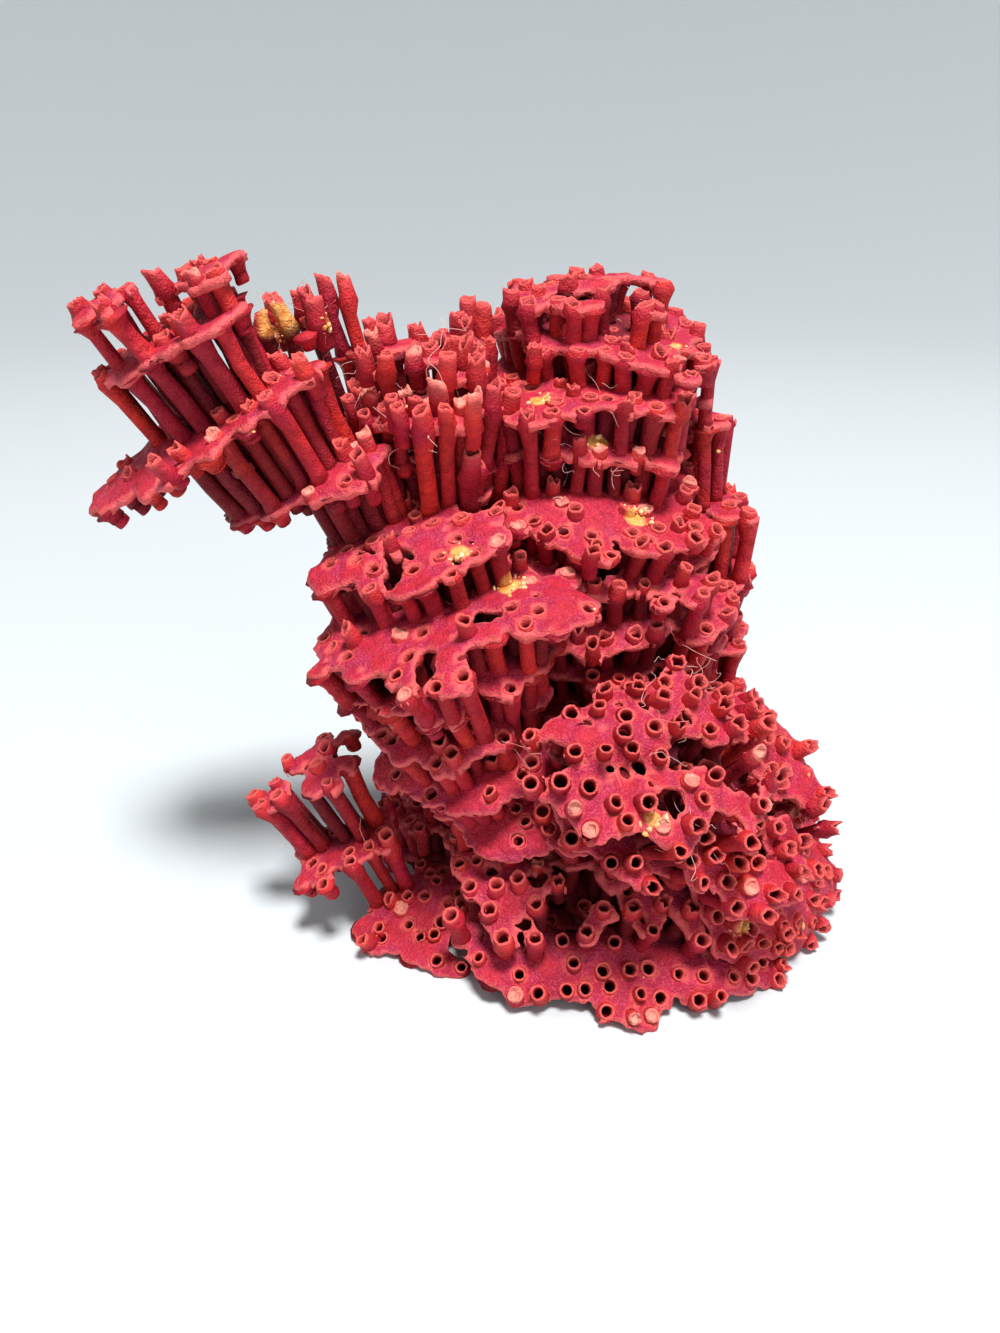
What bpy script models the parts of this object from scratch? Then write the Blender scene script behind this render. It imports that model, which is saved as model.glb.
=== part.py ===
"""Organ pipe coral: six solids of a colony of red limestone pipes tied by platforms.

The colony is a handful of lobes. A lobe is a family of curved platforms lying parallel to
each other, and its pipes stand along the normals of those platforms. The origin is at the
middle of the base, +Z is up, and the viewer of the photograph looks along +Y.
"""
import bmesh
import bpy
import numpy as np
from mathutils import Matrix, Vector

MM = 0.001

# Driving sizes, in millimetres
PLATFORM_THICKNESS = 1.1
PLATFORM_CORNERS = 10
PIPE_RADIUS = 1.15
PIPE_SIDES = 5
PIPE_PITCH = 16.0
PIPE_INSET = 1.9
PACK_SHARE = 0.58
PACK_FLUTES = 4
FLUTE_DEPTH = 0.16
PACK_TURN = 0.37
STUB_HEIGHT = 2.2
STUB_COUNT = 2
STUB_SHARE = 0.55

# How far packs, pipes and stubs reach past the middle of the platforms that they join
PACK_BITE = 0.25
PIPE_BITE = 0.35
STUB_BITE = 0.12
FORK_GAP = 0.3

# A platform's middle lies at least this far inside the outline of the one it stands on, and
# two outlines are walked from a place at least this far inside both
SEAT = 2.0
SHARED_DEPTH = 3.0
REACH_LIMIT = 34.0
REACH_STEP = 0.5
WALK_STEPS = 72

# Where the colony forks: planes, each a place on it in millimetres and the way it faces
FORKS = {
    "floor": ((0, 0, 0), (0, 0, 1)),
    "over_base": ((0, -12, 41), (0, 0.49, 0.87)),
    "over_left_lobe": ((-20, 0, 28), (0.8, 0, 0.6)),
    "under_shelf": ((0, -33, 11), (0, -0.2, 0.98)),
    "east_of_shelf": ((3, 0, 25), (0.94, 0, -0.34)),
    "behind_shelf": ((0, -3, 30), (0, 0.99, 0.12)),
    "under_crown": ((0, 0, 57), (0, 0, 1)),
    "east_of_arm": ((1.3, 0, 0), (1, 0, 0)),
}
SPACE_SIZE = 200.0

# From the place that the table below is measured from to the middle of the colony
FRAME_SHIFT = (0.02, 4.4, 0.0)

COLLECTION = "organ pipe coral"
REDS = {
    "base_mound": (0.38, 0.03, 0.05),
    "left_lobe": (0.45, 0.04, 0.06),
    "front_shelf": (0.43, 0.03, 0.06),
    "column": (0.40, 0.03, 0.05),
    "crown": (0.48, 0.04, 0.05),
    "arm": (0.50, 0.04, 0.06),
}

# A lobe: its middle, the way its pipes grow, how fast they spread sideways and front to
# back, and its platforms. A platform is its height along the pipes, the centre of its
# outline, and the outline's reach to the east, north-east, north and on round to south-east.
LOBES = {
    "crown": {
        "middle": (14, 4, 71.5), "growth": (0.0, -0.20, 0.98), "spread": (75, 80),
        "platforms": [
            (10.6, (1, 6), (9, 9, 7, 10, 13, 7, 5, 9)),
            (5.5, (1, 6), (12, 14, 12, 13, 13, 12, 9, 13)),
            (0.0, (0, 2), (12, 16, 15, 16, 14, 17, 12, 15)),
            (-5.5, (0, 2), (13, 17, 17, 17, 14, 17, 15, 18)),
            (-11.0, (0, 0), (16, 18, 19, 18, 13, 18, 24, 22)),
            (-16.0, (0, 0), (19, 20, 21, 20, 18, 18, 15, 21)),
        ],
    },
    "column": {
        "middle": (14, 4, 45), "growth": (-0.06, -0.20, 0.98), "spread": (75, 65),
        "platforms": [
            (9.0, (0, 0), (17, 19, 20, 20, 18, 18, 13, 19)),
            (1.0, (0, 0), (18, 20, 21, 20, 19, 21, 18, 22)),
            (-7.0, (0, 0), (20, 21, 22, 20, 20, 22, 18, 20)),
            (-15.5, (0, 0), (22, 24, 24, 22, 21, 22, 17, 20)),
        ],
    },
    "shelf": {
        "middle": (-5.8, -16, 48.4), "growth": (-0.25, -0.3, 0.92), "spread": (56, 56),
        "platforms": [
            (6.0, (-1, 5), (13, 10, 8, 10, 14, 8, 7, 9)),
            (0.0, (0, 0), (19, 14, 12, 14, 16, 12, 12, 9)),
            (-6.0, (0, 0), (14, 12, 12, 16, 19, 13, 13, 15)),
            (-12.0, (0, -2), (14, 12, 14, 18, 20, 15, 15, 14)),
            (-18.0, (0, -4), (13, 12, 16, 20, 19, 15, 20, 16)),
        ],
    },
    "left": {
        "middle": (-23, -14.4, 14.5), "growth": (-0.45, -0.2, 0.87), "spread": (42, 42),
        "platforms": [
            (6.0, (2, 7), (7, 7, 6, 6, 9, 7, 7, 9)),
            (0.0, (4, 0), (9, 10, 10, 9, 9, 8, 9, 10)),
            (-6.0, (8, -6), (10, 12, 12, 12, 12, 9, 12, 14)),
            (-12.0, (14, -6), (12, 12, 12, 12, 12, 9, 10, 14)),
        ],
    },
    "base": {
        "middle": (19, -33, 29), "growth": (0.1, -0.75, 0.65), "spread": (50, 50),
        "platforms": [
            (0.0, (0, 9), (15, 17, 12, 14, 14, 12, 12, 14)),
            (-6.0, (4, 4), (26, 24, 18, 18, 16, 11, 11, 18)),
            (-12.0, (6, 4), (26, 26, 18, 20, 20, 10, 10, 30)),
        ],
    },
    "east": {
        "middle": (40, -16, 15), "growth": (0.62, -0.56, 0.55), "spread": (24, 22),
        "platforms": [
            (0.0, (0, 0), (12, 12, 12, 10, 9, 10, 13, 14)),
            (-5.0, (0, 0), (16, 16, 14, 12, 10, 12, 13, 16)),
        ],
    },
    "foot": {
        "middle": (16, -26, 6), "growth": (0.05, -0.5, 0.86), "spread": (70, 30),
        "platforms": [
            (0.0, (2, 0), (28, 22, 12, 20, 22, 12, 9, 14)),
        ],
    },
    "root": {
        "middle": (13, -2, 0), "growth": (0.0, 0.0, 1.0), "spread": (150, 150),
        "platforms": [
            (33.0, (3, 4), (17, 18, 17, 16, 15, 15, 12, 14)),
            (24.0, (2, 4), (21, 22, 19, 20, 22, 20, 14, 17)),
            (13.0, (1, 2), (27, 27, 23, 26, 26, 24, 16, 22)),
            (1.2, (0, 0), (31, 31, 26, 28, 30, 28, 29, 32)),
        ],
    },
    "back": {
        "middle": (13, 16, 17), "growth": (0.05, 0.6, 0.8), "spread": (34, 30),
        "platforms": [
            (0.0, (0, 0), (22, 20, 14, 20, 24, 20, 16, 20)),
        ],
    },
    "arm": {
        "middle": (-33, -6, 68.5), "growth": (-0.47, -0.22, 0.85), "spread": (80, 42),
        "platforms": [
            (18.0, (-2, 2), (4, 4, 3, 4, 4, 4, 3, 4)),
            (14.5, (7, 3), (3, 3, 3, 3, 3, 3, 3, 3)),
            (10.0, (1, 1), (10, 9, 6, 8, 10, 7, 6, 8)),
            (0.0, (0, 0), (16, 13, 9, 11, 15, 10, 9, 11)),
            (-11.0, (8, 0), (13, 12, 11, 11, 12, 9, 10, 13)),
            (-20.0, (17, 0), (9, 10, 12, 11, 11, 9, 11, 10)),
        ],
    },
    "neck": {
        "middle": (-10, -2, 71), "growth": (-0.12, -0.22, 0.97), "spread": (60, 60),
        "platforms": [
            (10.5, (-6, 3), (8, 5, 5, 6, 11, 5, 3, 5)),
            (7.0, (6, 5), (5, 5, 5, 4, 5, 4, 3, 4)),
            (3.0, (3, 3), (10, 10, 8, 9, 10, 8, 6, 8)),
            (-7.0, (2, 1), (11, 11, 11, 11, 11, 8, 7, 9)),
            (-17.0, (5, 1), (11, 11, 12, 12, 12, 7, 8, 9)),
        ],
    },
    "flank": {
        "middle": (31.5, 8, 44), "growth": (0.0, -0.05, 1.0), "spread": (70, 70),
        "platforms": [
            (31.0, (-5, -3), (5, 5, 5, 4, 4, 4, 5, 5)),
            (22.0, (-1, 0), (4, 5, 7, 4, 4, 4, 5, 4)),
            (11.5, (0, 0), (5, 6, 8, 5, 4, 5, 7, 6)),
            (2.0, (0, 0), (7, 8, 9, 6, 5, 6, 8, 7)),
            (-8.0, (0, 0), (8, 8, 10, 7, 6, 8, 10, 9)),
        ],
    },
}


def unit(v):
    """The vectors of the last axis, each divided by its length."""
    return v / np.linalg.norm(v, axis=-1, keepdims=True)


def on_lobe(lobe, p, q, height):
    """The place at p east and q north of a lobe's middle, at a height along its pipes: the
    middle platform is a paraboloid, and the others lie parallel to it."""
    growth = unit(np.array(lobe["growth"], float))
    east = unit(np.array([1.0, 0, 0]) - growth[0] * growth)
    north = np.cross(growth, east)
    spread_p, spread_q = lobe["spread"]
    sag = p**2 / (2 * spread_p) + q**2 / (2 * spread_q)
    foot = np.array(lobe["middle"], float) + p * east + q * north - sag * growth
    way = unit(growth + p / spread_p * east + q / spread_q * north)
    return foot + height * way


def reach_at(platform, angle):
    """The outline's reach at an angle from east, eased between its eight spokes."""
    spokes = platform[2]
    turn = (angle / (np.pi / 4)) % 8
    k = int(turn) % 8
    t = turn - int(turn)
    t = t * t * (3 - 2 * t)
    return spokes[k] * (1 - t) + spokes[(k + 1) % 8] * t


def on_platform(lobe, platform, p, q, lift=0.0):
    """The place over (p, q) on a platform's faceted middle surface, a shallow cone from its
    centre to its rim, lifted along the pipes."""
    height, (p0, q0), _ = platform
    corner = 2 * np.pi / PLATFORM_CORNERS
    angle = np.arctan2(q - q0, p - p0) % (2 * np.pi)
    k = int(angle / corner)
    rim = []
    for a in (k * corner, (k + 1) * corner):
        r = reach_at(platform, a)
        rim.append(np.array([p0 + r * np.cos(a), q0 + r * np.sin(a)]))
    # (p, q) as a mix of the centre and the two rim corners beside it
    mix = np.linalg.solve(np.array([rim[0] - (p0, q0), rim[1] - (p0, q0)]).T, [p - p0, q - q0])
    weights = [1 - mix.sum(), mix[0], mix[1]]
    corners = [np.array([p0, q0]), rim[0], rim[1]]
    return sum(w * on_lobe(lobe, c[0], c[1], height + lift) for w, c in zip(weights, corners))


def within(platform, p, q):
    """How far (p, q) lies inside a platform's outline, in millimetres."""
    p0, q0 = platform[1]
    return reach_at(platform, np.arctan2(q - q0, p - p0) % (2 * np.pi)) - np.hypot(p - p0, q - q0)


def new_object(name, mesh_builder):
    """An object from a bmesh whose points are in metres."""
    mesh = bpy.data.meshes.new(name)
    mesh_builder.to_mesh(mesh)
    mesh_builder.free()
    obj = bpy.data.objects.new(name, mesh)
    bpy.data.collections[COLLECTION].objects.link(obj)
    return obj


def drum(name, bottom, top, bottom_middle, top_middle):
    """A closed solid between two rings of points, each capped by a fan about its middle."""
    bm = bmesh.new()
    low = [bm.verts.new(point * MM) for point in bottom]
    high = [bm.verts.new(point * MM) for point in top]
    low_middle, high_middle = bm.verts.new(bottom_middle * MM), bm.verts.new(top_middle * MM)
    count = len(low)
    for i in range(count):
        j = (i + 1) % count
        bm.faces.new((low[i], low[j], high[j], high[i]))
        bm.faces.new((low[j], low[i], low_middle))
        bm.faces.new((high[i], high[j], high_middle))
    bmesh.ops.recalc_face_normals(bm, faces=bm.faces)
    return new_object(name, bm)


def platform_solid(name, lobe, platform):
    """A platform: a shallow cone of even thickness over its outline."""
    height, (p0, q0), _ = platform
    rings = []
    for lift in (-0.5 * PLATFORM_THICKNESS, 0.5 * PLATFORM_THICKNESS):
        ring = []
        for k in range(PLATFORM_CORNERS):
            angle = 2 * np.pi * k / PLATFORM_CORNERS
            r = reach_at(platform, angle)
            ring.append(on_lobe(lobe, p0 + r * np.cos(angle), q0 + r * np.sin(angle), height + lift))
        rings.append((ring, on_lobe(lobe, p0, q0, height + lift)))
    (bottom, bottom_middle), (top, top_middle) = rings
    return drum(name, bottom, top, bottom_middle, top_middle)


def pipe(name, foot, head, turn):
    """One pipe: a straight prism between two places."""
    way = unit(head - foot)
    side = unit(np.cross(way, [0.3, 1.0, 0.1]))
    other = np.cross(way, side)
    angles = turn + np.arange(PIPE_SIDES) * 2 * np.pi / PIPE_SIDES
    spokes = [PIPE_RADIUS * (np.cos(a) * side + np.sin(a) * other) for a in angles]
    return drum(name, [foot + s for s in spokes], [head + s for s in spokes], foot, head)


def shared_outline(lower, upper):
    """The middle of two platforms' overlap and its reach at an angle, or none."""
    middle = (np.array(lower[1], float) + np.array(upper[1], float)) / 2
    if min(within(lower, *middle), within(upper, *middle)) < SHARED_DEPTH:
        middle = np.array(min((lower, upper), key=lambda f: sum(f[2]))[1], float)

    def reach(angle):
        for r in np.arange(REACH_LIMIT, 0.0, -REACH_STEP):
            spot = middle + r * np.array([np.cos(angle), np.sin(angle)])
            if min(within(lower, *spot), within(upper, *spot)) > 0:
                return r
        return 0.0

    return middle, reach


def storey(name, lobe, lower, upper):
    """The pipes between two platforms: a packed and fluted middle, and an outer row."""
    middle, reach = shared_outline(lower, upper)
    solids = []
    rings = [[], []]
    corners = 2 * PACK_FLUTES
    for k in range(corners):
        angle = 2 * np.pi * (k + PACK_TURN) / corners
        swell = 1 + FLUTE_DEPTH * (1 if k % 2 else -1)
        spot = middle + PACK_SHARE * swell * reach(angle) * np.array([np.cos(angle), np.sin(angle)])
        rings[0].append(on_platform(lobe, lower, *spot, lift=-PACK_BITE))
        rings[1].append(on_platform(lobe, upper, *spot, lift=PACK_BITE))
    low_middle = on_platform(lobe, lower, *middle, lift=-PACK_BITE)
    high_middle = on_platform(lobe, upper, *middle, lift=PACK_BITE)
    solids.append(drum(name + "_pack", *rings, low_middle, high_middle))
    angles = np.arange(WALK_STEPS) * 2 * np.pi / WALK_STEPS
    steps = [(reach(a) - PIPE_INSET) * angles[1] for a in angles]
    count = max(3, round(sum(steps) / PIPE_PITCH))
    walked = np.cumsum(steps)
    for k in range(count):
        angle = angles[np.searchsorted(walked, (k + 0.5) * walked[-1] / count)]
        spot = middle + (reach(angle) - PIPE_INSET) * np.array([np.cos(angle), np.sin(angle)])
        foot = on_platform(lobe, lower, *spot, lift=-PIPE_BITE)
        head = on_platform(lobe, upper, *spot, lift=PIPE_BITE)
        solids.append(pipe(f"{name}_pipe_{k}", foot, head, angle))
    return solids


def stubs(name, lobe, platform):
    """A few broken pipes standing on a lobe's last platform."""
    p0, q0 = platform[1]
    solids = []
    for k in range(STUB_COUNT):
        angle = 2 * np.pi * (k + 0.3) / STUB_COUNT
        r = STUB_SHARE * reach_at(platform, angle)
        spot = (p0 + r * np.cos(angle), q0 + r * np.sin(angle))
        solids.append(
            pipe(
                f"{name}_stub_{k}",
                on_platform(lobe, platform, *spot, lift=-STUB_BITE),
                on_platform(lobe, platform, *spot, lift=STUB_HEIGHT),
                angle,
            )
        )
    return solids


def joined(name, solids):
    """The solids made one by Booleans, two by two until one is left."""
    while len(solids) > 1:
        pairs = list(zip(solids[::2], solids[1::2]))
        left_over = [solids[-1]] if len(solids) % 2 else []
        for first, second in pairs:
            combine(first, second, "UNION")
            bpy.data.objects.remove(second)
        solids = [first for first, _ in pairs] + left_over
    solids[0].name = name
    return solids[0]


def apply_modifiers(obj):
    """The object's mesh replaced by what its modifiers make of it."""
    graph = bpy.context.evaluated_depsgraph_get()
    mesh = bpy.data.meshes.new_from_object(obj.evaluated_get(graph))
    obj.modifiers.clear()
    obj.data = mesh


def cutter(name, forks):
    """The space on the given sides of some forks, widened by half of the gap between pieces
    at each. A side is a fork's name, with a minus sign before it for the side behind it."""
    space = None
    for side in forks:
        place, way = FORKS[side.lstrip("-")]
        way = unit(np.array(way, float)) * (-1 if side[0] == "-" else 1)
        bm = bmesh.new()
        bmesh.ops.create_cube(bm, size=SPACE_SIZE * MM)
        lift = (0.5 * SPACE_SIZE - (0 if side == "-floor" else FORK_GAP / 2)) * way
        turn = Vector(way).to_track_quat("Z", "Y").to_matrix().to_4x4()
        bm.transform(Matrix.Translation((np.array(place, float) + lift) * MM) @ turn)
        half = new_object(f"{name}_{side}", bm)
        if space is None:
            space = half
        else:
            combine(space, half, "INTERSECT")
            bpy.data.objects.remove(half)
    space.name = name
    space.hide_render = True
    space.display_type = "WIRE"
    bpy.data.collections[COLLECTION].objects.unlink(space)
    bpy.data.collections["cutters"].objects.link(space)
    return space


def combine(obj, other, operation):
    """A Boolean on an object's mesh, applied at once."""
    boolean = obj.modifiers.new("boolean", "BOOLEAN")
    boolean.operation = operation
    boolean.object = other
    boolean.solver = "MANIFOLD"
    apply_modifiers(obj)


def drop_crumbs(obj):
    """Only the largest connected body of a solid is kept, and moved to the colony's frame."""
    bm = bmesh.new()
    bm.from_mesh(obj.data)
    islands, seen = [], set()
    for vert in bm.verts:
        if vert in seen:
            continue
        island, edge = [], [vert]
        seen.add(vert)
        while edge:
            here = edge.pop()
            island.append(here)
            for link in here.link_edges:
                far = link.other_vert(here)
                if far not in seen:
                    seen.add(far)
                    edge.append(far)
        islands.append(island)
    islands.sort(key=len)
    for island in islands[:-1]:
        bmesh.ops.delete(bm, geom=island, context="VERTS")
    bm.transform(Matrix.Translation(np.array(FRAME_SHIFT) * MM))
    bm.to_mesh(obj.data)
    bm.free()


def coral_material(name, colour):
    """A plain limestone red."""
    material = bpy.data.materials.new(name)
    material.use_nodes = True
    shader = material.node_tree.nodes["Principled BSDF"]
    shader.inputs["Base Color"].default_value = (*colour, 1.0)
    shader.inputs["Roughness"].default_value = 0.7
    return material


def lobe_solids(name):
    """Every solid of a lobe: its platforms, the pipes that each stands on, and stubs on the
    last. A platform stands on the highest one that lies under its middle."""
    lobe = LOBES[name]
    platforms = sorted(lobe["platforms"])
    solids = [platform_solid(f"{name}_{k}", lobe, f) for k, f in enumerate(platforms)]
    for k, upper in enumerate(platforms):
        under = [lower for lower in platforms[:k] if within(lower, *upper[1]) > SEAT]
        if under:
            solids += storey(f"{name}_{k}", lobe, under[-1], upper)
    return solids + stubs(name, lobe, platforms[-1])


def build():
    """The six pieces of the colony between its forks."""
    for obj in list(bpy.data.objects):
        bpy.data.objects.remove(obj)
    for name in (COLLECTION, "cutters"):
        bpy.context.scene.collection.children.link(bpy.data.collections.new(name))
    # For each piece, its lobes, and the spaces that aren't its own, as the sides of forks
    shelf_space = ("over_left_lobe", "under_shelf", "-east_of_shelf", "-behind_shelf", "-under_crown")
    pieces = {
        "base_mound": (
            ("root", "base", "foot", "east", "back"),
            (("-floor",), ("over_base",), ("-over_left_lobe",), shelf_space),
        ),
        "left_lobe": (("left", "foot", "root"), (("-floor",), ("over_left_lobe",))),
        "front_shelf": (
            ("shelf",),
            (("-over_left_lobe",), ("-under_shelf",), ("east_of_shelf",), ("behind_shelf",), ("under_crown",)),
        ),
        "column": (
            ("column", "crown", "flank"),
            (("-over_base",), ("under_crown",), shelf_space),
        ),
        "crown": (("crown", "flank"), (("-under_crown",), ("-east_of_arm",))),
        "arm": (("arm", "neck"), (("-under_crown",), ("east_of_arm",))),
    }
    for name, (lobes, spaces) in pieces.items():
        piece = joined(name, [solid for lobe in lobes for solid in lobe_solids(lobe)])
        for space in spaces:
            combine(piece, cutter(name + "_cutter", space), "DIFFERENCE")
        drop_crumbs(piece)
        piece.data.materials.clear()
        piece.data.materials.append(coral_material(name, REDS[name]))


build()
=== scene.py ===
"""Organ pipe coral: the looks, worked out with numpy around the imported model.

The colony is a handful of lobes. Each lobe is a family of parallel curved platforms, and its
pipes stand along the normals of those platforms. All sizes are millimetres until a mesh is
made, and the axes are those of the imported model.
"""

import bpy
import numpy as np
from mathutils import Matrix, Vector


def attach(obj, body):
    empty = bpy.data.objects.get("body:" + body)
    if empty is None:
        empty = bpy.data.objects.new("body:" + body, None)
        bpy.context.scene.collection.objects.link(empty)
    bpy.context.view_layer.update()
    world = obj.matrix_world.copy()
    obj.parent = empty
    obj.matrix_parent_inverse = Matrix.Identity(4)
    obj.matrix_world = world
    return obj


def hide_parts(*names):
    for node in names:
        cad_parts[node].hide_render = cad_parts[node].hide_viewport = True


MM = 0.001

# A distance past every other, and a height under every lobe
FAR = 99.0
LOWEST = -60.0

# Pipes: their radius, the least and greatest share of it that one has, how far one bends, and
# how fast its two bends go with the height and from pipe to pipe
PIPE_RADIUS = 1.0
PIPE_THIN = 0.82
PIPE_THICK = 1.12
PIPE_BEND = 0.16
BEND_RATES = (0.8, 0.7)
BEND_PHASES = (7, 11)

# Bores: their share of a pipe's radius, and how deep they go. A share of them is plugged, a
# little under the rim.
BORE_SHARE = 0.66
BORE_DEPTH = 4.5
PLUG_SHARE = 0.08
PLUG_DEPTH = 0.22

# The teeth of a broken rim: their waves as turns and size; their size on a pipe that doesn't
# rise over its platform, what it gains with the rise, its limit, and its least and greatest
# share; the most that they stand up; and the share of the rise that they are cut down at most
TOOTH_WAVES = ((1, 0.9), (2, 0.5), (3, 0.5), (5, 0.45))
TOOTH_BASE = 0.06
TOOTH_GAIN = 0.16
TOOTH_CAP = 0.4
TOOTH_SPREAD = (0.4, 1.5)
TOOTH_LIMIT = 0.6
TOOTH_SHARE = 0.6

# A whole pipe, ring by ring from the foot up: how high the ring is as a share of the length,
# how much more in millimetres, and its share of the radius. The second ring is the foot, and
# its radius is set by what the pipe stands on.
SPAN_RINGS = np.array([
    (0.0, 0.0, 0.0),
    (0.0, 0.0, 1.0),
    (0.1, 0.0, 1.03),
    (0.5, 0.0, 1.0),
    (1.0, -1.9, 1.02),
    (1.0, -1.2, 1.15),
    (1.0, -0.7, 1.45),
    (1.0, -0.3, 1.9),
    (1.0, 0.0, 0.0),
])
SPAN_SIDES = 10
SPAN_ROUGH = 0.04
SPAN_OVAL = 0.06
SPAN_FOOT = 1.35

# An open pipe, ring by ring up the outside, over the rim and down the bore: how high the ring
# is as shares of the length up to the platform, of the rise over it and of the bore's depth,
# and how much more in millimetres; its share of the radius; how far it follows the teeth;
# and how much it has of the rim's colour, the painted shade of the bore, a plug's colour and
# the painted shade under a platform
MOUTH_RINGS = np.array([
    (0.0, 0.0, 0.0, 0.0, 0.0, 0.0, 0.0, 0.0, 0.0, 1),
    (0.0, 0.0, 0.0, 0.0, 1.0, 0.0, 0.0, 0.0, 0.0, 1),
    (0.15, 0.0, 0.0, 0.0, 1.02, 0.0, 0.0, 0.0, 0.0, 1),
    (0.7, 0.0, 0.0, 0.0, 1.0, 0.0, 0.0, 0.0, 0.0, 1),
    (1.0, 0.0, 0.0, -0.25, 1.4, 0.0, 0.0, 0.0, 0.0, 1),
    (1.0, 0.3, 0.0, 0.0, 1.12, 0.0, 0.0, 0.0, 0.0, 0),
    (1.0, 0.8, 0.0, 0.0, 1.0, 0.7, 0.3, 0.0, 0.1, 0),
    (1.0, 1.0, 0.0, 0.0, 0.96, 1.0, 1.0, 0.0, 0.5, 0),
    (1.0, 1.0, 0.0, -0.03, BORE_SHARE + 0.07, 1.0, 1.0, 0.2, 0.6, 0),
    (1.0, 1.0, -0.35, 0.0, BORE_SHARE, 0.4, 0.0, 0.7, 0.9, 0),
    (1.0, 1.0, -1.0, 0.0, BORE_SHARE * 0.92, 0.0, 0.0, 1.0, 1.0, 0),
    (1.0, 1.0, -1.0, 0.0, 0.0, 0.0, 0.0, 1.0, 1.0, 0),
])
MOUTH_SIDES = 12
MOUTH_ROUGH = 0.025
MOUTH_FOOT = 1.3

# The foot of a pipe that stands on nothing, and the least depth of stone under a bore
FREE_FOOT = 0.9
BORE_FLOOR = 0.2

# Platforms: the thickness, and half of it at the rim; the width of the mound that each pipe
# spreads, how far out the mound counts, and the millimetres that one of the mounds' sum is
# worth at the edge; and the hole at a mouth, as a share of a pipe's radius
PLATE_THICK = 0.55
RIM_HALF = 0.12
MELT_WIDTH = 1.95
MELT_WINDOW = 6.0
MELT_SLOPE = 2.6
MOUTH_SHARE = 0.85

# Where a pipe meets a plate: how wide the collar above and the web below are, and how far
# they stand out
COLLAR_WIDTH = 0.5
COLLAR_RISE = 0.25
WEB_WIDTH = 0.9
WEB_DROP = 0.75

# A pipe belongs to a platform if it stands this far inside the outline and this high over the
# ground. It runs down to the lobe's foot if it stands deeper in the lowest platform, and
# otherwise hangs free for a length between two limits.
LEAST_DEPTH = 0.5
LEAST_HEIGHT = 0.3
FOOT_DEPTH = 1.5
FREE_DROP = (0.8, 3.5)

# Whole pipes deeper inside than this can't be seen and aren't made. In a band along the
# outline a share of the pipes snaps, and no pipe crosses a longer storey than the limit.
BURIED = 9.0
SNAP_BAND = 3.5
SNAP_SHARE = 0.14
STOREY_LIMIT = 20.0

# Thin ledges grow midway between two platforms, in a band along the outline, where a wave of
# this length is over this level
LEDGE_WAVE = 9.0
LEDGE_LEVEL = 1.5
LEDGE_BAND = 7.0

# Where two lobes meet, the later one gives way this far inside the earlier one's outline, and
# this far past its lowest and highest platform
CLAIM_DEPTH = 0.9
CLAIM_REACH = 2.0

# Finding a place on a lobe: the rounds of correction, and the least that the lobe may narrow
FIND_ROUNDS = 5
LEAST_WIDTH = 0.2

# The honeycomb that pipes stand on: how far out it goes, the share of the spacing that a pipe
# may be off its place, and the share of it from row to row
SEED_REACH = 36
SEED_JITTER = 0.20
ROW_STEP = 0.866

# Waves, each as its length and its amount: the whole colony's sway, a platform's outline, the
# roughness of its edge with the mean of the folded wave, and the grain of its surface. The
# amount of a platform's swell is in the table of lobes.
SWAY = (26.0, 0.45)
OUTLINE_WAVES = ((11.0, 0.7), (5.0, 0.5))
EDGE_WAVES = ((9.0, 0.09), (3.6, 0.06), (2.3, 0.21))
FOLD_MEAN = 0.15
SURFACE_WAVE = (2.2, 0.05)
SWELL_LENGTH = 10.0

# A wave is the sum of this many sines. Their directions are drawn with this usual length,
# which the wavelength is measured against.
WAVE_COUNT = 6
WAVE_REACH = 1.7

# How far along its waves one millimetre of height moves a platform, so that no two platforms
# have the same outline, swell, edge, surface or ledges
OUTLINE_APART = 31.0
SWELL_APART = 3
EDGE_APART = 7
SURFACE_APART = 5
LEDGE_APART = 11

# How far inside the outline of the platform above the painted shade has got fully dark
SHADE_WIDTH = 6.0

# Crumbs: how many are on crust and elsewhere, how near to the middle of a patch counts as
# crust, the least height over the ground, their size and how far each is stretched, the
# depth of their bumps, and the rings and sides of one
CRUMBS_ON_CRUST = 260
CRUMBS_ELSEWHERE = 110
CRUST_EDGE = 0.25
CRUMB_HEIGHT = 1.0
CRUMB_SIZE = (0.12, 0.38)
CRUMB_STRETCH = (0.5, 1.3)
CRUMB_BUMP = 0.22
CRUMB_RINGS = 7
CRUMB_SIDES = 8

# Lint: the radius and length of a fibre, how far it curls as a share of its length and how
# many turns, and its rings and sides
THREAD_RADIUS = 0.028
THREAD_LENGTH = (2.5, 9.0)
THREAD_CURL = 0.16
THREAD_TURNS = 0.8
THREAD_RINGS = 44
THREAD_SIDES = 4

# What the random draws start from
WAVE_SEED = 7
PHASE_SEED = 8
LOBE_SEED = 100
CRUMB_SEED = 5

# Colours of the coral, as linear red, green and blue
PIPE_DEEP = (0.32, 0.003, 0.020)
PIPE_ORANGE = (0.70, 0.030, 0.018)
PIPE_CRIMSON = (0.45, 0.009, 0.034)
PLATE_CRIMSON = (0.42, 0.006, 0.040)
PLATE_MAUVE = (0.37, 0.021, 0.072)
PORE_RED = (0.20, 0.002, 0.012)
RIM_PINK = (0.86, 0.15, 0.13)
# Painted shade: the dark painted down inside the bores
BORE_PAINTED_SHADE = (0.10, 0.001, 0.005)
PLUG_PALE = (0.80, 0.33, 0.25)
SPECK_PINK = (0.64, 0.085, 0.12)
CRUST_OCHRE = (0.72, 0.24, 0.03)
CRUST_CREAM = (0.88, 0.50, 0.16)
# Painted shade: the dark red painted into the colour under a platform
PAINTED_SHADE_RED = (0.075, 0.002, 0.006)

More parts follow.
